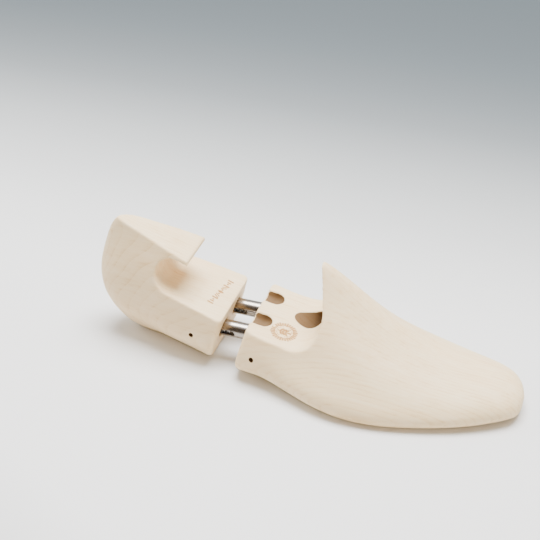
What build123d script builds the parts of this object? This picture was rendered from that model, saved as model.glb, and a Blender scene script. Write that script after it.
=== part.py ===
from build123d import *
import math
import os

# Two-part sprung shoe tree for a right shoe, in millimetres.
# While it is drawn, X runs from the back of the heel (0) to the toe, Y from the outer (lateral, -)
# to the inner (medial, +) side of the foot, and Z up from the surface it stands on.
# At the end everything is moved so that the origin is under the middle of its box.

# ---- driving dimensions ----
LENGTH = 278.0               # back of the heel to the tip of the toe
HEEL_FRONT = 90.0            # front face of the heel block
TOE_REAR = 107.0             # rear face of the toe block
TUBE_OFFSET = 12.0           # each tube's distance from the middle
TUBE_HEIGHT = 21.3           # height of both tubes' axes
TUBE_OUTER_R = 5.35
TUBE_WALL = 0.8
TUBE_REAR = 58.0             # rear end of the tubes, inside the heel block
TUBE_FRONT = 124.0           # front end of the tubes, seated in the toe block
PIN_R = 1.25                 # cross pins
HEEL_PIN_X = 70.0
TOE_PIN_X = 113.3
TOE_PIN_Z = 18.9
SLOT_W = 3.2                 # slot in each tube that the heel's cross pin runs in
SLOT_FRONT = 96.0
PIN_FIT = 0.03               # radial clearance of a pin in its hole
BORE_FIT = 0.03              # radial clearance of a tube in the toe block
HEEL_BORE_R = 6.3            # loose bore that the tubes slide in
HEEL_BORE_END = 39.5
SPRING_R = 3.4               # mean radius of the coils
WIRE_R = 0.5
SPRING_TURNS = 11
SEAT_R = 4.2                 # spring seats, small turned discs with a spigot
SEAT_T = 1.5
SPIGOT_R = 2.5
SPIGOT_L = 3.0

PLATFORM_SLOPE = -0.18       # rear platform of the toe block, falling towards the scoop
SCOOP_X, SCOOP_Z, SCOOP_R = 137.5, 45.5, 15.7
SCOOP_LEAN = 17.6            # degrees that the wall above the scoop leans back
THUMB_R = 9.0
THUMB_Y = 2.5
THUMB_TILT = 42.0            # degrees below level
THUMB_DEPTH = 21.0
GROOVE_R = 5.6
GROOVE_BALL_X, GROOVE_BALL_Z = 113.7, 33.6

HEEL_TOP_BACK, HEEL_TOP_SLOPE = 85.6, -0.296      # height of the sloping top at x = 0
HOOK_FRONT = 63.8            # front edge of the overhanging top
HOOK_TIP_T = 2.8
CHANNEL_X, CHANNEL_Z, CHANNEL_R = 53.0, 55.3, 10.8
HEEL_PLAT_FRONT_Z = 35.0
HEEL_PLAT_SLOPE = -0.215

os.makedirs("parts", exist_ok=True)
WIDE = 160.0                 # cutting tools are longer than the block they cut


# ---- toe block: sections across the foot, lofted from the rear to the tip ----
# x, outer edge y, inner edge y, ridge y, ridge z, sole z, bluntness outer, bluntness inner
TOE_STATIONS = [
    (92, -30.0, 26.4, 1.6, 75.0, 6.2, 1.55, 2.4),
    (116, -35.9, 25.5, 3.5, 79.0, 4.6, 1.42, 2.0),
    (134, -41.3, 26.5, 6.0, 76.5, 3.3, 1.22, 1.6),
    (150, -47.2, 30.5, 7.5, 70.8, 2.0, 1.20, 1.45),
    (168, -51.7, 35.6, 7.6, 57.6, 0.8, 1.34, 1.45),
    (186, -52.3, 39.4, 6.6, 43.8, -0.3, 1.50, 1.42),
    (204, -50.0, 40.6, 5.0, 33.4, -0.3, 1.66, 1.40),
    (222, -45.4, 36.8, 3.4, 26.5, 0.1, 1.80, 1.45),
    (240, -39.5, 31.0, 2.2, 22.7, 0.7, 1.90, 1.50),
    (255, -32.7, 25.0, 1.0, 21.0, 1.3, 1.95, 1.65),
    (266, -26.4, 19.2, -0.4, 19.0, 1.9, 2.0, 1.8),
    (273, -21.2, 12.4, -2.4, 16.4, 2.6, 2.0, 1.9),
    (276.6, -16.0, 4.8, -4.4, 13.6, 3.6, 2.0, 2.0),
    (LENGTH, -10.6, -1.0, -5.6, 10.8, 5.4, 2.0, 2.0),
]
END_ROUND = 3.0              # easing around the blocks' facing ends
END_LEAN, END_HEIGHT = 0.24, 35.0     # the facing ends lean forward by this slope about this height
FEATHER_IN = 6.5             # the sole is this much narrower than the block on each side
FEATHER_UP = 6.0             # height of the widest line above the sole


def dome_point(side, top, base, ridge_y, blunt, angle):
    """A point of a section's side, from its widest line (0 degrees) up to the ridge (90)."""
    c = math.cos(math.radians(angle)) ** (2 / blunt)
    s = math.sin(math.radians(angle)) ** (2 / blunt)
    return ridge_y + (side - ridge_y) * c, base + (top - base) * s


def toe_section(x, outer, inner, ridge_y, ridge_z, sole, blunt_o, blunt_i):
    """One closed section: a flat sole line and a smooth curve over the top."""
    size = min(1.0, (ridge_z - sole) / 15.0, (inner - outer) / 40.0)
    inset, up = FEATHER_IN * size, FEATHER_UP * size
    points = [(outer + inset, sole), (outer + 0.38 * inset, sole + 0.28 * up)]
    for angle in (0, 24, 46, 68):
        points.append(dome_point(outer, ridge_z, sole + up, ridge_y, blunt_o, angle))
    points.append((ridge_y, ridge_z))
    for angle in (68, 46, 24, 0):
        points.append(dome_point(inner, ridge_z, sole + up, ridge_y, blunt_i, angle))
    points += [(inner - 0.38 * inset, sole + 0.28 * up), (inner - inset, sole)]
    at = [Vector(x, y, z) for y, z in points]
    over = Spline(*at)
    under = Line(at[-1], at[0])
    return Face(Wire([over, under]))


def scoop_tool():
    """Everything above the rear platform and behind the leaning wall of the scoop."""
    lean = math.radians(SCOOP_LEAN)
    fall = math.atan(PLATFORM_SLOPE)
    low = Vector(SCOOP_X + SCOOP_R * math.sin(fall), 0, SCOOP_Z - SCOOP_R * math.cos(fall))
    bottom = Vector(SCOOP_X + SCOOP_R * math.sin(0.7), 0, SCOOP_Z - SCOOP_R * math.cos(0.7))
    wall = Vector(SCOOP_X + SCOOP_R * math.cos(lean), 0, SCOOP_Z + SCOOP_R * math.sin(lean))
    top = 100.0
    back = 80.0
    outline = [
        Line((back, 0, low.Z + PLATFORM_SLOPE * (back - low.X)), low),
        ThreePointArc(low, bottom, wall),
        Line(wall, (wall.X - (top - wall.Z) * math.tan(lean), 0, top)),
        Line((wall.X - (top - wall.Z) * math.tan(lean), 0, top), (back, 0, top)),
        Line((back, 0, top), (back, 0, low.Z + PLATFORM_SLOPE * (back - low.X))),
    ]
    return extrude(Face(Wire(outline)), amount=WIDE / 2, dir=(0, 1, 0), both=True)


def round_bar(start, direction, radius, length):
    """A plain cylinder from start along direction."""
    return Plane(origin=start, z_dir=direction) * Cylinder(
        radius, length, align=(Align.CENTER, Align.CENTER, Align.MIN))


def round_nosed_bar(nose, direction, radius, length):
    """A cutter with a ball end: the ball's centre is at nose, and the shank runs along direction."""
    return round_bar(nose, direction, radius, length) + Pos(*nose) * Sphere(radius)


def pin_hole(x, z, start_y, end_y):
    return round_bar((x, start_y, z), (0, 1, 0), PIN_R + PIN_FIT, end_y - start_y)


def end_plane(x):
    """The leaning end face of a block, through x at platform height."""
    return Plane(origin=(x, 0, END_HEIGHT), z_dir=(1, 0, -END_LEAN))


def round_end(block, plane, radius):
    """Ease the outline of a block's flat end face."""
    rim = [e for e in block.edges()
           if all(abs(plane.to_local_coords(e @ t).Z) < 0.02 for t in (0, 0.3, 0.7, 1))]
    return fillet(rim, radius)


def toe_block():
    block = loft([toe_section(*station) for station in TOE_STATIONS])
    block = split(block, bisect_by=end_plane(TOE_REAR), keep=Keep.TOP)
    block = split(block, bisect_by=Plane.XY, keep=Keep.TOP)      # the flat the ball of the foot stands on
    block = round_end(block, end_plane(TOE_REAR), END_ROUND)
    block -= scoop_tool()

    # the slanting thumb hole where the platform meets the wall
    tilt = math.radians(THUMB_TILT)
    down = Vector(math.cos(tilt), 0, -math.sin(tilt))
    mouth = Vector(144.1, THUMB_Y, 30.0)
    block -= round_nosed_bar(tuple(mouth + down * (THUMB_DEPTH - THUMB_R)), tuple(down * -1), THUMB_R, 60)

    for y in (-TUBE_OFFSET, TUBE_OFFSET):
        # ball-ended groove in the rear edge of the platform, over each tube
        block -= round_nosed_bar((GROOVE_BALL_X, y, GROOVE_BALL_Z), (-0.92, 0, 0.39), GROOVE_R, 30)
        block -= round_bar((TOE_REAR - 12, y, TUBE_HEIGHT), (1, 0, 0), TUBE_OUTER_R + BORE_FIT,
                           TUBE_FRONT - TOE_REAR + 12.3)
    block -= pin_hole(TOE_PIN_X, TOE_PIN_Z, -WIDE / 2, 21.5)
    return block


# ---- heel block: level outlines, lofted from the seat up ----
# z, back x, middle y at the back, fullness of the back's outer and inner corners,
# then outer y and inner y 24 in front of the back, at x = 50 and at x = 96
HEEL_LEVELS = [
    (0.0, 24.0, -0.8, 0.75, 0.75, -7.6, 6.5, -8.2, 7.2, -22.5, 18.0),
    (2.2, 19.5, -0.8, 0.75, 0.75, -9.0, 9.2, -11.0, 11.6, -26.0, 22.5),
    (4.8, 14.5, -0.8, 0.75, 0.75, -10.8, 11.6, -13.8, 15.2, -28.2, 25.2),
    (9.0, 10.0, -0.8, 0.75, 0.80, -13.0, 14.2, -17.8, 19.8, -29.8, 27.4),
    (18.0, 4.4, -0.8, 0.80, 0.85, -16.8, 17.2, -23.6, 26.0, -31.0, 28.6),
    (30.0, -0.5, -0.8, 0.95, 0.95, -17.7, 18.0, -23.6, 26.2, -28.6, 28.0),
    (45.0, -2.0, -0.6, 0.85, 0.90, -15.6, 17.0, -20.6, 24.6, -23.8, 25.8),
    (60.0, 1.2, -0.4, 0.60, 0.85, -11.6, 14.2, -15.0, 18.8, -17.4, 21.4),
    (67.5, 3.6, -0.4, 0.55, 0.82, -8.8, 12.8, -11.6, 16.2, -14.4, 18.2),
    (75.0, 6.5, -0.4, 0.50, 0.82, -6.2, 11.6, -9.0, 14.6, -12.2, 17.2),
    (82.5, 11.9, -0.4, 0.50, 0.82, -4.4, 10.8, -7.0, 13.6, -10.4, 16.0),
    (90.0, 18.0, -0.4, 0.50, 0.80, -3.2, 9.6, -5.0, 12.4, -8.6, 15.0),
]
# distance from the back, and the share of the half width reached there by a plain V and by a full U
BACK_CORNERS = [(1.6, 0.16, 0.36), (6.5, 0.36, 0.70), (13.5, 0.63, 0.90)]


def heel_outline(z, back, mid, outer_full, inner_full, outer_24, inner_24, outer_50, inner_50,
                 outer_96, inner_96):
    """A level outline: a smooth curve along each side and a straight line across the front."""
    outer_side, inner_side = (
        [(back + run, plain + (most - plain) * full) for run, plain, most in BACK_CORNERS]
        for full in (outer_full, inner_full)
    )
    outer = [(back, mid)] + [(x, mid + (outer_24 - mid) * f) for x, f in outer_side]
    outer += [(back + 24, outer_24), (50, outer_50), (73, (outer_50 + outer_96) / 2), (96, outer_96)]
    inner = [(back, mid)] + [(x, mid + (inner_24 - mid) * f) for x, f in inner_side]
    inner += [(back + 24, inner_24), (50, inner_50), (73, (inner_50 + inner_96) / 2), (96, inner_96)]
    outer, inner = ([Vector(x, y, z) for x, y in points] for points in (outer, inner))
    halves = [Spline(*outer[::-1]), Spline(*inner)]
    return Face(Wire(halves + [Line(inner[-1], outer[-1])]))


def top_height(x):
    return HEEL_TOP_BACK + HEEL_TOP_SLOPE * x


def platform_height(x):
    return HEEL_PLAT_FRONT_Z + HEEL_PLAT_SLOPE * (x - HEEL_FRONT)


def channel_tool():
    """The finger channel under the hook and the space over the front platform."""
    under_slope = math.radians(14.0)
    fall = math.atan(HEEL_PLAT_SLOPE)
    ceiling = Vector(CHANNEL_X + CHANNEL_R * math.sin(under_slope), 0,
                     CHANNEL_Z + CHANNEL_R * math.cos(under_slope))
    back = Vector(CHANNEL_X - CHANNEL_R, 0, CHANNEL_Z)
    floor = Vector(CHANNEL_X + CHANNEL_R * math.sin(fall), 0, CHANNEL_Z - CHANNEL_R * math.cos(fall))
    tip = Vector(HOOK_FRONT, 0, top_height(HOOK_FRONT) - HOOK_TIP_T)
    top = 110.0
    far = 110.0
    outline = [
        Line((HOOK_FRONT, 0, top), tip),
        Line(tip, ceiling),
        ThreePointArc(ceiling, back, floor),
        Line(floor, (far, 0, platform_height(far))),
        Line((far, 0, platform_height(far)), (far, 0, top)),
        Line((far, 0, top), (HOOK_FRONT, 0, top)),
    ]
    return extrude(Face(Wire(outline)), amount=WIDE / 2, dir=(0, 1, 0), both=True)


def heel_block():
    block = loft([heel_outline(*level) for level in HEEL_LEVELS])
    slope = math.atan(HEEL_TOP_SLOPE)
    lid = Plane(origin=(0, 0, HEEL_TOP_BACK), z_dir=(-math.sin(slope), 0, math.cos(slope)))
    block = split(block, bisect_by=lid, keep=Keep.BOTTOM)
    block = split(block, bisect_by=end_plane(HEEL_FRONT), keep=Keep.BOTTOM)
    block -= waist_cut()
    block = round_end(block, end_plane(HEEL_FRONT), END_ROUND)
    block -= channel_tool()
    for y in (-TUBE_OFFSET, TUBE_OFFSET):
        block -= round_bar((HEEL_BORE_END, y, TUBE_HEIGHT), (1, 0, 0), HEEL_BORE_R, 100)
    block -= pin_hole(HEEL_PIN_X, TUBE_HEIGHT, -WIDE / 2, 21.5)
    return block


def waist_cut():
    """Below the sole line: level as far as the heel seat, then curving up to the front face."""
    start, rise, far = 46.0, 6.2, 100.0
    run = HEEL_FRONT - start
    radius = (run * run + rise * rise) / (2 * rise)
    end_z = radius - math.sqrt(radius ** 2 - (far - start) ** 2)
    mid_x = (start + far) / 2
    mid_z = radius - math.sqrt(radius ** 2 - (mid_x - start) ** 2)
    outline = [
        ThreePointArc((start, 0, 0), (mid_x, 0, mid_z), (far, 0, end_z)),
        Line((far, 0, end_z), (far, 0, -20)),
        Line((far, 0, -20), (start, 0, -20)),
        Line((start, 0, -20), (start, 0, 0)),
    ]
    return extrude(Face(Wire(outline)), amount=WIDE / 2, dir=(0, 1, 0), both=True)


# ---- metal parts ----
def slotted_tube(y):
    """Thin tube, open at both ends, slotted through for the heel pin and drilled for the toe pin."""
    length = TUBE_FRONT - TUBE_REAR
    tube = round_bar((TUBE_REAR, y, TUBE_HEIGHT), (1, 0, 0), TUBE_OUTER_R, length)
    tube -= round_bar((TUBE_REAR, y, TUBE_HEIGHT), (1, 0, 0), TUBE_OUTER_R - TUBE_WALL, length)
    end_r = SLOT_W / 2
    first, last = HEEL_PIN_X, SLOT_FRONT - end_r
    tool = Pos((first + last) / 2, y, TUBE_HEIGHT) * Box(last - first, 4 * TUBE_OUTER_R, SLOT_W)
    for x in (first, last):
        tool += round_bar((x, y - 2 * TUBE_OUTER_R, TUBE_HEIGHT), (0, 1, 0), end_r, 4 * TUBE_OUTER_R)
    tube -= tool
    tube -= pin_hole(TOE_PIN_X, TOE_PIN_Z, y - 8, y + 8)
    return tube


def cross_pin(x, z, start_y, end_y):
    """Headless drive pin with a small chamfer at each end."""
    pin = round_bar((x, start_y, z), (0, 1, 0), PIN_R, end_y - start_y)
    return chamfer(pin.edges().filter_by(GeomType.CIRCLE), 0.3)


def spring_seat(y, face_x, direction):
    """Disc that carries the end of a spring, with a spigot inside the coils."""
    disc = round_bar((face_x, y, TUBE_HEIGHT), (direction, 0, 0), SEAT_R, SEAT_T)
    spigot = round_bar((face_x, y, TUBE_HEIGHT), (direction, 0, 0), SPIGOT_R, SEAT_T + SPIGOT_L)
    return disc + spigot


def spring(y, start_x, end_x):
    """Round-wire compression spring between the two seats."""
    height = end_x - start_x - 2 * WIRE_R
    path = Helix(pitch=height / SPRING_TURNS, height=height, radius=SPRING_R)
    wire = Plane(origin=path @ 0, z_dir=path % 0) * Circle(WIRE_R)
    coil = sweep(wire, path=path, is_frenet=True)
    return Pos(start_x + WIRE_R, y, TUBE_HEIGHT) * Rot(0, 90, 0) * coil


REAR_SEAT_X = HEEL_PIN_X + PIN_R + 0.05
FRONT_SEAT_X = TOE_PIN_X - PIN_R - 0.05

pieces = {
    "toe_block": toe_block(),
    "heel_block": heel_block(),
    "toe_pin": cross_pin(TOE_PIN_X, TOE_PIN_Z, -28.0, 21.0),
    "heel_pin": cross_pin(HEEL_PIN_X, TUBE_HEIGHT, -23.5, 21.0),
}
for name, y in (("outer", -TUBE_OFFSET), ("inner", TUBE_OFFSET)):
    pieces[name + "_side_tube"] = slotted_tube(y)
    pieces[name + "_side_spring"] = spring(y, REAR_SEAT_X + SEAT_T, FRONT_SEAT_X - SEAT_T)
    pieces[name + "_side_rear_seat"] = spring_seat(y, REAR_SEAT_X, 1)
    pieces[name + "_side_front_seat"] = spring_seat(y, FRONT_SEAT_X, -1)

boxes = [pieces[n].bounding_box() for n in ("toe_block", "heel_block")]
low = [min(b.min.X for b in boxes), min(b.min.Y for b in boxes), min(b.min.Z for b in boxes)]
high = [max(b.max.X for b in boxes), max(b.max.Y for b in boxes), max(b.max.Z for b in boxes)]
shift = Pos(-(low[0] + high[0]) / 2, -(low[1] + high[1]) / 2, -low[2])

for name, piece in pieces.items():
    export_step(shift * piece, "parts/" + name + ".step")
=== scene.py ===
import math

import bmesh
import bpy
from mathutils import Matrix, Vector


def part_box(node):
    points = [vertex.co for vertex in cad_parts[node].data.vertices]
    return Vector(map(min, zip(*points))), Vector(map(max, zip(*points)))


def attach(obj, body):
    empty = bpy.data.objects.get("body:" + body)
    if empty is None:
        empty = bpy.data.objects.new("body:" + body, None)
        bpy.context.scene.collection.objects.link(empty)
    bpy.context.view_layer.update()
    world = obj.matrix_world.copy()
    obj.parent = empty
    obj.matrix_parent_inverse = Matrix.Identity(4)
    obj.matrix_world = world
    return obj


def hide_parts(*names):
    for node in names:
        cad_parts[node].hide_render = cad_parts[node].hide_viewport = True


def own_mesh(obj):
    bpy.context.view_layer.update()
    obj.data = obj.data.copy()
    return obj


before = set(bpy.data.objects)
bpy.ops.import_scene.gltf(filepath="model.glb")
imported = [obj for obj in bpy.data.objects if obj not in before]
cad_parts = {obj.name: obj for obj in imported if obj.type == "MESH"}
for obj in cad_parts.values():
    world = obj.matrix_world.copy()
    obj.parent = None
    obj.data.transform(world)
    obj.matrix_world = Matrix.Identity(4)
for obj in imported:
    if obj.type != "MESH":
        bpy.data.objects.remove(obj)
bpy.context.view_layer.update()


# ---------------------------------------------------------------- toe block
# The forefoot block: one piece of pale close-grained wood, copy-turned and sanded, with two
# ball-ended grooves over the tubes, a slanting thumb hole and a pin hole on its outer side. The
# tubes are seated in its two bores and held there by a cross pin.
mm = 0.001
outer_tube, inner_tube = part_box("outer_side_tube"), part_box("inner_side_tube")
tube_y = [(box[0][1] + box[1][1]) / 2 for box in (outer_tube, inner_tube)]
tube_z = (outer_tube[0][2] + outer_tube[1][2]) / 2
tube_r = (outer_tube[1][2] - outer_tube[0][2]) / 2
tube_rear, tube_front = outer_tube[0][0], outer_tube[1][0]
middle_y = (tube_y[0] + tube_y[1]) / 2
toe_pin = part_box("toe_pin")
platform_rear = toe_pin[0][0] - 5.05 * mm


def blank_material(name):
    """A material with one plain shader, and what is needed to add to it."""
    mat = bpy.data.materials.new(name)
    mat.use_nodes = True
    mat.node_tree.nodes.clear()
    nodes, links = mat.node_tree.nodes, mat.node_tree.links
    out = nodes.new("ShaderNodeOutputMaterial")
    shader = nodes.new("ShaderNodeBsdfPrincipled")
    links.new(shader.outputs[0], out.inputs[0])
    return mat, nodes, links, shader


def tone_ramp(nodes, stops):
    """A colour ramp from (place, colour) stops."""
    node = nodes.new("ShaderNodeValToRGB")
    ends = node.color_ramp.elements
    while len(ends) > 1:
        ends.remove(ends[-1])
    ends[0].position, ends[0].color = stops[0]
    for place, colour in stops[1:]:
        ends.new(place).color = colour
    return node


def pale_wood_group():
    """Close-grained pale wood, solid through the block: rings about a line near X, fibre and flecks."""
    group = bpy.data.node_groups.new("pale wood", "ShaderNodeTree")
    face = group.interface
    for label, default in (("Ring Centre Y", 0.09), ("Ring Centre Z", 0.03), ("Ring Spacing", 0.0034),
                           ("Tilt Y", 0.05), ("Tilt Z", 0.03)):
        face.new_socket(label, in_out="INPUT", socket_type="NodeSocketFloat").default_value = default
    face.new_socket("Vector", in_out="INPUT", socket_type="NodeSocketVector")
    face.new_socket("Color", in_out="OUTPUT", socket_type="NodeSocketColor")
    face.new_socket("Height", in_out="OUTPUT", socket_type="NodeSocketFloat")
    nodes, links = group.nodes, group.links
    given, out = nodes.new("NodeGroupInput"), nodes.new("NodeGroupOutput")

    def maths(op, *terms):
        node = nodes.new("ShaderNodeMath")
        node.operation = op
        for socket, term in zip(node.inputs, terms):
            if isinstance(term, (int, float)):
                socket.default_value = term
            else:
                links.new(term, socket)
        return node.outputs[0]

    def noise(scale, stretch, detail=3.0, rough=0.5):
        """Noise drawn out along the block where stretch's first number is small."""
        shape = nodes.new("ShaderNodeVectorMath")
        shape.operation = "MULTIPLY"
        links.new(given.outputs["Vector"], shape.inputs[0])
        shape.inputs[1].default_value = stretch
        node = nodes.new("ShaderNodeTexNoise")
        node.inputs["Scale"].default_value = scale
        node.inputs["Detail"].default_value = detail
        node.inputs["Roughness"].default_value = rough
        links.new(shape.outputs[0], node.inputs["Vector"])
        return node.outputs[0]

    def from_centre(along, across, centre, tilt):
        """Distance from the tilted line that the rings grow round, on one axis."""
        off = maths("SUBTRACT", across, given.outputs[centre])
        return maths("SUBTRACT", off, maths("MULTIPLY", along, given.outputs[tilt]))

    split = nodes.new("ShaderNodeSeparateXYZ")
    links.new(given.outputs["Vector"], split.inputs[0])
    x, y, z = split.outputs
    wander = noise(14.0, (0.55, 1.0, 1.0), 2.0)
    dy = from_centre(x, y, "Ring Centre Y", "Tilt Y")
    dz = from_centre(x, z, "Ring Centre Z", "Tilt Z")
    far = maths("SQRT", maths("ADD", maths("MULTIPLY", dy, dy), maths("MULTIPLY", dz, dz)))
    far = maths("MULTIPLY_ADD", wander, 0.010, far)
    ring = maths("FRACT", maths("DIVIDE", far, given.outputs["Ring Spacing"]))
    # each year's ring darkens slowly to its late edge and then drops back
    late = maths("MULTIPLY", maths("POWER", ring, 3.0), noise(22.0, (0.4, 1.0, 1.0)))
    fibre = noise(900.0, (0.03, 1.0, 1.0), 4.0, 0.62)
    streak = noise(260.0, (0.025, 1.0, 1.0), 3.0, 0.55)
    fleck = maths("GREATER_THAN", noise(700.0, (0.16, 1.0, 1.0), 1.0), 0.665)
    tone = maths("ADD", maths("MULTIPLY", late, 0.48),
                 maths("MULTIPLY", maths("SUBTRACT", streak, 0.5), 0.85))
    tone = maths("ADD", tone, maths("MULTIPLY", maths("SUBTRACT", fibre, 0.5), 0.60))
    tone = maths("ADD", tone, maths("MULTIPLY", fleck, 0.10))
    tone = maths("ADD", tone, 0.20)
    cream = tone_ramp(nodes, [(0.0, (0.92, 0.752, 0.505, 1)), (0.35, (0.885, 0.685, 0.41, 1)),
                              (0.7, (0.755, 0.525, 0.27, 1)), (1.0, (0.56, 0.335, 0.145, 1))])
    links.new(tone, cream.inputs[0])
    # broad drift between a pinker and a yellower cream
    drift = tone_ramp(nodes, [(0.36, (1.0, 0.965, 0.93, 1)), (0.64, (0.985, 0.99, 0.965, 1))])
    links.new(noise(18.0, (0.35, 1.0, 1.0), 2.0), drift.inputs[0])
    mix = nodes.new("ShaderNodeMix")
    mix.data_type, mix.blend_type = "RGBA", "MULTIPLY"
    mix.inputs["Factor"].default_value = 1.0
    links.new(cream.outputs[0], mix.inputs[6])
    links.new(drift.outputs[0], mix.inputs[7])
    links.new(mix.outputs[2], out.inputs["Color"])
    links.new(maths("ADD", maths("MULTIPLY", late, -0.4), fibre), out.inputs["Height"])
    return group


PALE_WOOD = pale_wood_group()


def pale_wood(name, centre_y, centre_z, spacing, tilt_y, tilt_z, tint=None, rough=0.5):
    """Bare sanded wood; a tint darkens it where a bit has cut across the grain, partly for the cut end
    grain and partly as painted shade in the hollows the bits leave.
    """
    mat, nodes, links, shader = blank_material(name)
    where = nodes.new("ShaderNodeTexCoord")
    grain = nodes.new("ShaderNodeGroup")
    grain.node_tree = PALE_WOOD
    for label, value in (("Ring Centre Y", centre_y), ("Ring Centre Z", centre_z),
                         ("Ring Spacing", spacing), ("Tilt Y", tilt_y), ("Tilt Z", tilt_z)):
        grain.inputs[label].default_value = value
    links.new(where.outputs["Object"], grain.inputs["Vector"])
    colour = grain.outputs["Color"]
    if tint:
        mix = nodes.new("ShaderNodeMix")
        mix.data_type, mix.blend_type = "RGBA", "MULTIPLY"
        mix.inputs["Factor"].default_value = 1.0
        mix.inputs[7].default_value = tint
        links.new(colour, mix.inputs[6])
        colour = mix.outputs[2]
    links.new(colour, shader.inputs["Base Color"])
    shader.inputs["Roughness"].default_value = rough
    shader.inputs["Specular IOR Level"].default_value = 0.32
    bump = nodes.new("ShaderNodeBump")
    bump.inputs["Strength"].default_value = 0.25
    bump.inputs["Distance"].default_value = 0.12 * mm
    links.new(grain.outputs["Height"], bump.inputs["Height"])
    links.new(bump.outputs[0], shader.inputs["Normal"])
    return mat


WOOD_TOE = pale_wood("wood toe", 0.095, 0.028, 0.0023, 0.055, -0.02)
# The bored wood's dark colour is partly cut end grain and partly painted shade inside the grooves, thumb
# hole and bores.
WOOD_BORED_SHADED = pale_wood("wood bored shaded", 0.095, 0.028, 0.0036, 0.055, -0.02, (0.195, 0.145, 0.102, 1), 0.75)
# The pin holes' much darker colour is painted shade down the holes, on top of the cut end grain.
WOOD_HOLE_SHADED = pale_wood("wood pin hole shaded", 0.095, 0.028, 0.0036, 0.055, -0.02, (0.13, 0.08, 0.05, 1), 0.85)


def add_mesh(name, verts, faces, material, smooth=True):
    mesh = bpy.data.meshes.new(name)
    mesh.from_pydata([tuple(v) for v in verts], [], faces)
    mesh.validate()
    mesh.materials.append(material)
    if smooth:
        mesh.shade_smooth()
    obj = bpy.data.objects.new(name, mesh)
    bpy.context.collection.objects.link(obj)
    return obj


def face_outwards(obj):
    """Turn a closed mesh's faces outwards."""
    work = bmesh.new()
    work.from_mesh(obj.data)
    bmesh.ops.recalc_face_normals(work, faces=work.faces)
    work.to_mesh(obj.data)
    work.free()
    return obj


def turned(profile, start, direction, steps=48):
    """Rings of (along, radius) turned round a line from start; the ends are closed."""
    axis = Vector(direction).normalized()
    side = axis.orthogonal().normalized()
    other = axis.cross(side)
    verts, faces = [], []
    for along, radius in profile:
        for k in range(steps):
            a = 2 * math.pi * k / steps
            verts.append(Vector(start) + axis * along + (side * math.cos(a) + other * math.sin(a)) * radius)
    for i in range(len(profile) - 1):
        for k in range(steps):
            n = (k + 1) % steps
            faces.append((i * steps + k, i * steps + n, (i + 1) * steps + n, (i + 1) * steps + k))
    last = (len(profile) - 1) * steps
    faces.append(tuple(range(steps))[::-1])
    faces.append(tuple(range(last, last + steps)))
    return verts, faces


def ball_nosed(nose, direction, radius, length, steps=48):
    """The sweep of a ball-nosed bit: its ball's centre is at nose and its shank runs along direction."""
    angles = [math.pi / 2 * (k + 0.12) / 12 for k in range(12)]
    ball = [(-radius * math.cos(a), radius * math.sin(a)) for a in angles]
    return turned(ball + [(0.0, radius), (length, radius)], nose, direction, steps)


def freeze(obj, sharp_angle=None):
    """Apply the object's modifiers and drop them."""
    graph = bpy.context.evaluated_depsgraph_get()
    mesh = bpy.data.meshes.new_from_object(obj.evaluated_get(graph), depsgraph=graph)
    obj.modifiers.clear()
    obj.data = mesh
    obj.data.shade_smooth()
    if sharp_angle:
        obj.data.set_sharp_from_angle(angle=math.radians(sharp_angle))
    return obj


def cut_away(obj, tool, sharp_angle=38):
    """Take the tool's shape out of obj and throw the tool away."""
    step = obj.modifiers.new("cut", "BOOLEAN")
    step.operation = "DIFFERENCE"
    step.solver = "EXACT"
    step.material_mode = "TRANSFER"
    step.object = tool
    freeze(obj, sharp_angle)
    bpy.data.objects.remove(tool, do_unlink=True)


def bore_out(block, shapes, material):
    """Drill or mill several turned shapes out of a block; what they leave shows the material."""
    verts, faces = [], []
    for shape_verts, shape_faces in shapes:
        base = len(verts)
        verts += shape_verts
        faces += [tuple(i + base for i in face) for face in shape_faces]
    cut_away(block, face_outwards(add_mesh("cutter", verts, faces, material)))


def sanded(node, name, material):
    """The block's own shape with its edges eased the way sanding leaves them."""
    obj = bpy.data.objects.new(name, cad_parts[node].data.copy())
    bpy.context.collection.objects.link(obj)
    obj.matrix_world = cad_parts[node].matrix_world
    obj.data.materials.clear()
    obj.data.materials.append(material)
    fine = obj.modifiers.new("fine", "REMESH")
    fine.mode = "VOXEL"
    fine.voxel_size = 0.8 * mm
    fine.use_smooth_shade = True
    ease = obj.modifiers.new("ease", "SMOOTH")
    ease.factor = 0.5
    ease.iterations = 9
    return freeze(obj)


def pin_hole(pin):
    """The hole a cross pin was driven into: open on the outer side and a little wider than the pin."""
    x, z, radius = (pin[0][0] + pin[1][0]) / 2, (pin[0][2] + pin[1][2]) / 2, (pin[1][2] - pin[0][2]) / 2
    hole_r, reach, sunk = radius + 0.35 * mm, 60 * mm, 0.2 * mm
    return turned([(0, hole_r), (reach, hole_r)], (x, pin[0][1] + sunk, z), (0, -1, 0), 24)


toe_wood = sanded("toe_block", "toe_wood", WOOD_TOE)
groove_r, groove_reach = 5.72 * mm, 30 * mm
grooves = [ball_nosed((platform_rear + 6.7 * mm, y, 33.6 * mm), (-0.92, 0, 0.39), groove_r, groove_reach)
           for y in tube_y]
thumb_tilt, thumb_r, thumb_reach = math.radians(42), 9.12 * mm, 60 * mm
thumb_mouth = Vector((platform_rear + 37.1 * mm, middle_y + 2.5 * mm, 30 * mm))
down = Vector((math.cos(thumb_tilt), 0, -math.sin(thumb_tilt)))
thumb = ball_nosed(thumb_mouth + down * 12 * mm, -down, thumb_r, thumb_reach, 64)
bore_out(toe_wood, grooves + [thumb], WOOD_BORED_SHADED)
toe_bore_r = tube_r + 0.05 * mm
toe_bore_end = tube_front + 0.3 * mm - platform_rear
bore_out(toe_wood, [turned([(-8 * mm, toe_bore_r), (toe_bore_end, toe_bore_r)],
                           (platform_rear, y, tube_z), (1, 0, 0)) for y in tube_y], WOOD_BORED_SHADED)
bore_out(toe_wood, [pin_hole(toe_pin)], WOOD_HOLE_SHADED)
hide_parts("toe_block")
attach(toe_wood, "toe")

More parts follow.
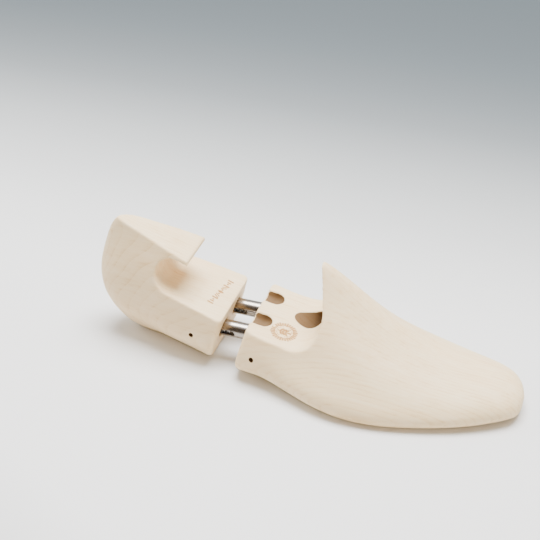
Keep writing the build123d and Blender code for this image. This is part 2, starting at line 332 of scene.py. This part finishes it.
# ---------------------------------------------------------------- heel block
# The heel block: the same wood, with a flat sloping top that overhangs a finger slot, loose bores
# that the tubes slide in and a pin hole low on its outer side.
WOOD_HEEL = pale_wood("wood heel", 0.12, 0.050, 0.0027, 0.09, 0.03)
heel_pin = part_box("heel_pin")
heel_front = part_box("heel_block")[1][0]
heel_bore_r, heel_bore_depth = tube_r + 0.95 * mm, 51 * mm
heel_wood = sanded("heel_block", "heel_wood", WOOD_HEEL)
bore_out(heel_wood, [turned([(-heel_bore_depth, heel_bore_r), (6 * mm, heel_bore_r)],
                            (heel_front, y, tube_z), (1, 0, 0)) for y in tube_y], WOOD_BORED_SHADED)
bore_out(heel_wood, [pin_hole(heel_pin)], WOOD_HOLE_SHADED)
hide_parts("heel_block")
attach(heel_wood, "heel")

# ---------------------------------------------------------------- slotted tubes
# Two thin nickel-plated steel tubes, pinned into the toe block and sliding in the heel block,
# each milled through with a round-ended slot that the heel pin runs along.
slot_first = (heel_pin[0][0] + heel_pin[1][0]) / 2
slot_last = slot_first + 24.4 * mm
slot_half = 1.6 * mm
tube_wall, tube_chamfer = 0.8 * mm, 0.12 * mm


def drawn_metal_group():
    """Fine lines left along drawn metal: roughness that runs from a least value up by a scratch."""
    group = bpy.data.node_groups.new("drawn metal", "ShaderNodeTree")
    for label in ("Least Roughness", "Scratch"):
        group.interface.new_socket(label, in_out="INPUT", socket_type="NodeSocketFloat")
    group.interface.new_socket("Vector", in_out="INPUT", socket_type="NodeSocketVector")
    group.interface.new_socket("Roughness", in_out="OUTPUT", socket_type="NodeSocketFloat")
    nodes, links = group.nodes, group.links
    given, out = nodes.new("NodeGroupInput"), nodes.new("NodeGroupOutput")
    shape = nodes.new("ShaderNodeVectorMath")
    shape.operation = "MULTIPLY"
    shape.inputs[1].default_value = (0.06, 1.0, 1.0)
    links.new(given.outputs["Vector"], shape.inputs[0])
    noise = nodes.new("ShaderNodeTexNoise")
    noise.inputs["Scale"].default_value = 1500.0
    links.new(shape.outputs[0], noise.inputs["Vector"])
    rough = nodes.new("ShaderNodeMath")
    rough.operation = "MULTIPLY_ADD"
    links.new(noise.outputs[0], rough.inputs[0])
    links.new(given.outputs["Scratch"], rough.inputs[1])
    links.new(given.outputs["Least Roughness"], rough.inputs[2])
    links.new(rough.outputs[0], out.inputs["Roughness"])
    return group


DRAWN_METAL = drawn_metal_group()


def drawn_metal(name, colour, rough, scratch=0.06):
    mat, nodes, links, shader = blank_material(name)
    shader.inputs["Base Color"].default_value = colour
    shader.inputs["Metallic"].default_value = 1.0
    where = nodes.new("ShaderNodeTexCoord")
    lines = nodes.new("ShaderNodeGroup")
    lines.node_tree = DRAWN_METAL
    lines.inputs["Least Roughness"].default_value = rough
    lines.inputs["Scratch"].default_value = scratch
    links.new(where.outputs["Object"], lines.inputs["Vector"])
    links.new(lines.outputs["Roughness"], shader.inputs["Roughness"])
    return mat


# The nickel's colour is darker and warmer than plated nickel: painted shade that stands in for the dark gap
# mirrored in the tubes' lower half.
NICKEL_PAINTED_DARK = drawn_metal("nickel", (0.35, 0.31, 0.27, 1), 0.24)


def open_tube(name, y, steps=96):
    """A tube with its outer rims just broken, turned as one closed ring of six corners."""
    length = tube_front - tube_rear
    inner_r = tube_r - tube_wall
    ring = [(0.0, inner_r), (0.0, tube_r - tube_chamfer), (tube_chamfer, tube_r),
            (length - tube_chamfer, tube_r), (length, tube_r - tube_chamfer), (length, inner_r)]
    corners = len(ring)
    verts = []
    for along, radius in ring:
        for k in range(steps):
            a = 2 * math.pi * k / steps
            verts.append((tube_rear + along, y + radius * math.cos(a), tube_z + radius * math.sin(a)))
    faces = [(i * steps + k, i * steps + (k + 1) % steps, (i + 1) % corners * steps + (k + 1) % steps,
              (i + 1) % corners * steps + k) for i in range(corners) for k in range(steps)]
    return face_outwards(add_mesh(name, verts, faces, NICKEL_PAINTED_DARK))


def slot_mill(y, steps=16, reach=8 * mm):
    """A flat bar with round ends, long enough to go through both walls."""
    outline = []
    for end, turn in ((slot_first, math.pi / 2), (slot_last, -math.pi / 2)):
        for k in range(steps + 1):
            a = turn + math.pi * k / steps
            outline.append((end + slot_half * math.cos(a), slot_half * math.sin(a)))
    n = len(outline)
    verts = [(u, y + side * reach, tube_z + v) for side in (-1, 1) for u, v in outline]
    faces = [tuple(range(n)), tuple(range(2 * n - 1, n - 1, -1))]
    faces += [(k, k + n, (k + 1) % n + n, (k + 1) % n) for k in range(n)]
    return face_outwards(add_mesh("cutter", verts, faces, NICKEL_PAINTED_DARK, smooth=False))


for side, y in zip(("outer", "inner"), tube_y):
    tube = open_tube(side + "_tube", y)
    cut_away(tube, slot_mill(y), 35)
    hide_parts(side + "_side_tube")
    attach(tube, "toe")

# ---------------------------------------------------------------- springs
# A wire compression spring in each tube, its end turns closed up against the turned seats; it
# moves with the toe block.
WIRE = drawn_metal("spring wire", (0.5, 0.49, 0.47, 1), 0.28)
wire_r, turns = 0.5 * mm, 13.0


def spring_path(box, y, per_turn=30):
    """The wire's middle line: a helix whose first and last turns lie close together."""
    coil_r = (box[1][2] - box[0][2]) / 2 - wire_r
    first, last = box[0][0] + wire_r, box[1][0] - wire_r
    closed = 2 * wire_r * 1.03
    path = []
    for k in range(int(turns * per_turn) + 1):
        t = k / per_turn
        if t < 1:
            along = first + closed * t
        elif t > turns - 1:
            along = last - closed * (turns - t)
        else:
            along = first + closed + (last - first - 2 * closed) * (t - 1) / (turns - 2)
        a = 2 * math.pi * t
        path.append(Vector((along, y + coil_r * math.cos(a), tube_z + coil_r * math.sin(a))))
    return path


def wound_wire(name, path, y, around=10):
    """Round wire along the path, closed at both ends."""
    count = len(path) - 1
    verts, faces = [], []
    for k, p in enumerate(path):
        ahead = (path[min(k + 1, count)] - path[max(k - 1, 0)]).normalized()
        outward = (p - Vector((p.x, y, tube_z))).normalized()
        up = ahead.cross(outward).normalized()
        for j in range(around):
            b = 2 * math.pi * j / around
            verts.append(p + (outward * math.cos(b) + up * math.sin(b)) * wire_r)
    for k in range(count):
        for j in range(around):
            n = (j + 1) % around
            faces.append((k * around + j, k * around + n, (k + 1) * around + n, (k + 1) * around + j))
    faces.append(tuple(range(around))[::-1])
    faces.append(tuple(range(count * around, count * around + around)))
    return add_mesh(name, verts, faces, WIRE)


for side, y in zip(("outer", "inner"), tube_y):
    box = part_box(side + "_side_spring")
    spring = wound_wire(side + "_spring", spring_path(box, y), y)
    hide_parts(side + "_side_spring")
    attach(spring, "toe")
    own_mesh(spring)

# ---------------------------------------------------------------- pins and seats
# Two plain cross pins cut from steel rod, driven in below the surface, and four small turned
# discs that carry the ends of the springs. They keep their designed shapes.
STEEL = drawn_metal("steel", (0.20, 0.17, 0.145, 1), 0.45)
seats = [side + end for side in ("outer", "inner") for end in ("_side_rear_seat", "_side_front_seat")]
for node in ["toe_pin", "heel_pin"] + seats:
    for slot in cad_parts[node].material_slots:
        slot.material = STEEL

# ---------------------------------------------------------------- stamped marks
# Two faint burnt-in marks: a sprig in a ring of ticks on the toe block's platform and a plain
# row of ornaments across the heel block's platform. Their sizes are in millimetres.


def burnt_wood():
    """Scorched wood, speckled where the stamp bit more or less."""
    mat, nodes, links, shader = blank_material("burnt mark")
    where = nodes.new("ShaderNodeTexCoord")
    speck = nodes.new("ShaderNodeTexNoise")
    speck.inputs["Scale"].default_value = 1400.0
    speck.inputs["Detail"].default_value = 2.0
    links.new(where.outputs["Object"], speck.inputs["Vector"])
    tan = tone_ramp(nodes, [(0.34, (0.58, 0.32, 0.10, 1)), (0.50, (0.43, 0.20, 0.045, 1)),
                            (0.66, (0.30, 0.115, 0.022, 1))])
    links.new(speck.outputs[0], tan.inputs[0])
    links.new(tan.outputs[0], shader.inputs["Base Color"])
    shader.inputs["Roughness"].default_value = 0.7
    return mat


BURNT = burnt_wood()


def bar(u, v, wide, tall, turn=0.0):
    """Corner points of a bar centred at u, v and turned by an angle."""
    c, s = math.cos(turn), math.sin(turn)
    corners = [(-wide / 2, -tall / 2), (wide / 2, -tall / 2), (wide / 2, tall / 2), (-wide / 2, tall / 2)]
    return [(u + x * c - y * s, v + x * s + y * c) for x, y in corners]


def oval(u, v, wide, tall, turn=0.0, count=20, pointed=1.0):
    """An oval centred at u, v; above 1, pointed draws its long ends out like a leaf's."""
    c, s = math.cos(turn), math.sin(turn)
    points = []
    for k in range(count):
        a = 2 * math.pi * k / count
        x, y = wide / 2 * math.cos(a), tall / 2 * math.copysign(abs(math.sin(a)) ** pointed, math.sin(a))
        points.append((u + x * c - y * s, v + x * s + y * c))
    return points


def stamp(name, wood, shapes, place, across, along, body):
    """Lay flat shapes on the wood's surface, looking straight down on it."""
    above, proud = 200 * mm, 0.03 * mm
    verts, faces = [], []
    across, along = Vector(across), Vector(along)
    for shape in shapes:
        base = len(verts)
        for u, v in shape:
            spot = Vector(place) + across * u * mm + along * v * mm
            _, at, normal, _ = wood.ray_cast(Vector((spot.x, spot.y, above)), Vector((0, 0, -1)))
            verts.append(at + normal * proud)
        faces.append(tuple(range(base, base + len(shape))))
    mark = add_mesh(name, verts, faces, BURNT, smooth=False)
    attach(mark, body)


row = []
for u, kind in ((-13.2, "bar"), (-11.0, "short"), (-9.3, "dot"), (-7.2, "bar"), (-4.6, "lean"),
                (-2.2, "dot"), (0.0, "leaf"), (2.2, "dot"), (4.6, "lean back"), (7.2, "bar"),
                (9.3, "dot"), (11.0, "short"), (13.2, "bar")):
    if kind == "bar":
        row.append(bar(u, 0, 1.2, 4.2))
    elif kind == "short":
        row.append(bar(u, 0, 1.2, 2.6))
    elif kind == "dot":
        row.append(oval(u, 0, 1.4, 1.4))
    elif kind == "leaf":
        row.append(oval(u, 0, 2.2, 4.2, 0, 20, 1.5))
    else:
        turn = 0.5 if kind == "lean" else -0.5
        row += [bar(u - 0.8, 0, 0.8, 3.6, turn), bar(u + 0.8, 0, 0.8, 3.6, turn)]
across = Vector((0.16, 0.987, 0)).normalized()
stamp("heel_mark", heel_wood, row, (heel_front - 10.3 * mm, middle_y + 1.6 * mm, 0), across,
      (0.987, -0.16, 0), "heel")

crest = []
for k in range(30):
    a = 2 * math.pi * k / 30
    tall = 2.7 if k % 3 else 3.4
    crest.append(bar(7.0 * math.cos(a), 7.0 * math.sin(a), 1.1, tall, a - math.pi / 2))
crest.append(bar(0, -0.4, 1.0, 7.4))
for side in (-1, 1):
    for v in (-2.2, -0.5, 1.2):
        crest.append(oval(side * 1.7, v + 0.6, 3.4, 1.55, side * 0.62, 14, 1.3))
crest.append(oval(0, 3.3, 1.5, 2.6, 0, 14, 1.3))
for k in range(8):
    a = math.radians(205 + 130 * k / 7)
    for side in (1, -1):
        crest.append(oval(side * 4.6 * math.cos(a), side * 4.6 * math.sin(a), 0.8, 0.8, 0, 10))
stamp("toe_mark", toe_wood, crest, (platform_rear + 21.6 * mm, middle_y - 16.4 * mm, 0), (0, 1, 0),
      (1, 0, 0), "toe")

# ---------------------------------------------------------------- studio
# A pale matt table whose colour is painted darker as it runs back (painted falloff of the light) and in its
# near left corner (painted shade), a wide soft light overhead, weak fills, and a room that is dark on the
# camera's side.
mat, nodes, links, shader = blank_material("table")
where = nodes.new("ShaderNodeTexCoord")
split = nodes.new("ShaderNodeSeparateXYZ")
links.new(where.outputs["Object"], split.inputs[0])
back = nodes.new("ShaderNodeMapRange")
back.inputs["From Min"].default_value, back.inputs["From Max"].default_value = -0.2, 0.8
links.new(split.outputs["Y"], back.inputs["Value"])
# painted falloff: the table's grey is painted darker and bluer towards the back, standing in for the light
# dying away there
table_grey_and_painted_falloff = tone_ramp(nodes, [(0.0, (0.80, 0.80, 0.80, 1)), (0.26, (0.74, 0.74, 0.74, 1)),
                         (0.38, (0.52, 0.53, 0.532, 1)), (0.54, (0.125, 0.143, 0.153, 1)),
                         (0.75, (0.080, 0.096, 0.105, 1))])
table_grey_and_painted_falloff.color_ramp.interpolation = "B_SPLINE"
links.new(back.outputs[0], table_grey_and_painted_falloff.inputs[0])
# painted shade: the table's colour is scaled down to 0.7 in its near left corner, standing in for shade
# there
corner = nodes.new("ShaderNodeVectorMath")
corner.operation = "DOT_PRODUCT"
corner.inputs[1].default_value = (0.5, 1.0, 0.0)
links.new(where.outputs["Object"], corner.inputs[0])
near = nodes.new("ShaderNodeMapRange")
near.inputs["From Min"].default_value, near.inputs["From Max"].default_value = -0.30, -0.20
near.inputs["To Min"].default_value, near.inputs["To Max"].default_value = 0.70, 1.0
links.new(corner.outputs["Value"], near.inputs["Value"])
shade = nodes.new("ShaderNodeVectorMath")
shade.operation = "SCALE"
links.new(table_grey_and_painted_falloff.outputs[0], shade.inputs[0])
links.new(near.outputs[0], shade.inputs["Scale"])
links.new(shade.outputs[0], shader.inputs["Base Color"])
shader.inputs["Roughness"].default_value = 0.6
shader.inputs["Specular IOR Level"].default_value = 0.2
table = add_mesh("table", [(-6, -4, 0), (6, -4, 0), (6, 12, 0), (-6, 12, 0)], [(0, 1, 2, 3)], mat, False)


def area_light(name, place, target, size_x, size_y, power, colour, mirrored=True):
    """A soft rectangular lamp turned towards the target; the metal needn't mirror it."""
    data = bpy.data.lights.new(name, "AREA")
    data.shape, data.size, data.size_y = "RECTANGLE", size_x, size_y
    data.energy, data.color = power, colour
    lamp = bpy.data.objects.new(name, data)
    lamp.location = place
    lamp.rotation_euler = (Vector(target) - Vector(place)).to_track_quat("-Z", "Y").to_euler()
    lamp.visible_glossy = mirrored
    bpy.context.collection.objects.link(lamp)


area_light("overhead", (0.0, 0.35, 1.45), (0, 0.02, 0), 1.2, 0.8, 80, (0.99, 0.995, 1.0))
area_light("front fill", (0.7, -1.5, 1.1), (0, 0, 0.03), 1.6, 1.2, 17, (1.0, 0.80, 0.54), False)
area_light("left fill", (-1.3, 0.1, 0.7), (0, 0, 0.03), 0.8, 0.9, 12, (1.0, 0.98, 0.95))
world = bpy.data.worlds.new("room")
world.use_nodes = True
nodes, links = world.node_tree.nodes, world.node_tree.links
where = nodes.new("ShaderNodeTexCoord")
split = nodes.new("ShaderNodeSeparateXYZ")
links.new(where.outputs["Generated"], split.inputs[0])
depth = nodes.new("ShaderNodeMapRange")
depth.inputs["From Min"].default_value, depth.inputs["From Max"].default_value = -0.75, 0.25
links.new(split.outputs["Y"], depth.inputs["Value"])
walls = tone_ramp(nodes, [(0.0, (0.11, 0.078, 0.055, 1)), (0.5, (0.31, 0.28, 0.25, 1)),
                          (1.0, (0.86, 0.90, 0.94, 1))])
links.new(depth.outputs[0], walls.inputs[0])
links.new(walls.outputs[0], nodes["Background"].inputs["Color"])
nodes["Background"].inputs["Strength"].default_value = 0.95
bpy.context.scene.world = world

# The camera looks down on the tree from its outer side.
lens = bpy.data.cameras.new("camera")
lens.lens, lens.sensor_width = 78.15, 36
camera = bpy.data.objects.new("camera", lens)
camera.location = (0.16883, -0.55342, 0.48442)
camera.rotation_euler = Vector((-0.2659, 0.7705, -0.5793)).to_track_quat("-Z", "Y").to_euler()
bpy.context.collection.objects.link(camera)
bpy.context.scene.camera = camera
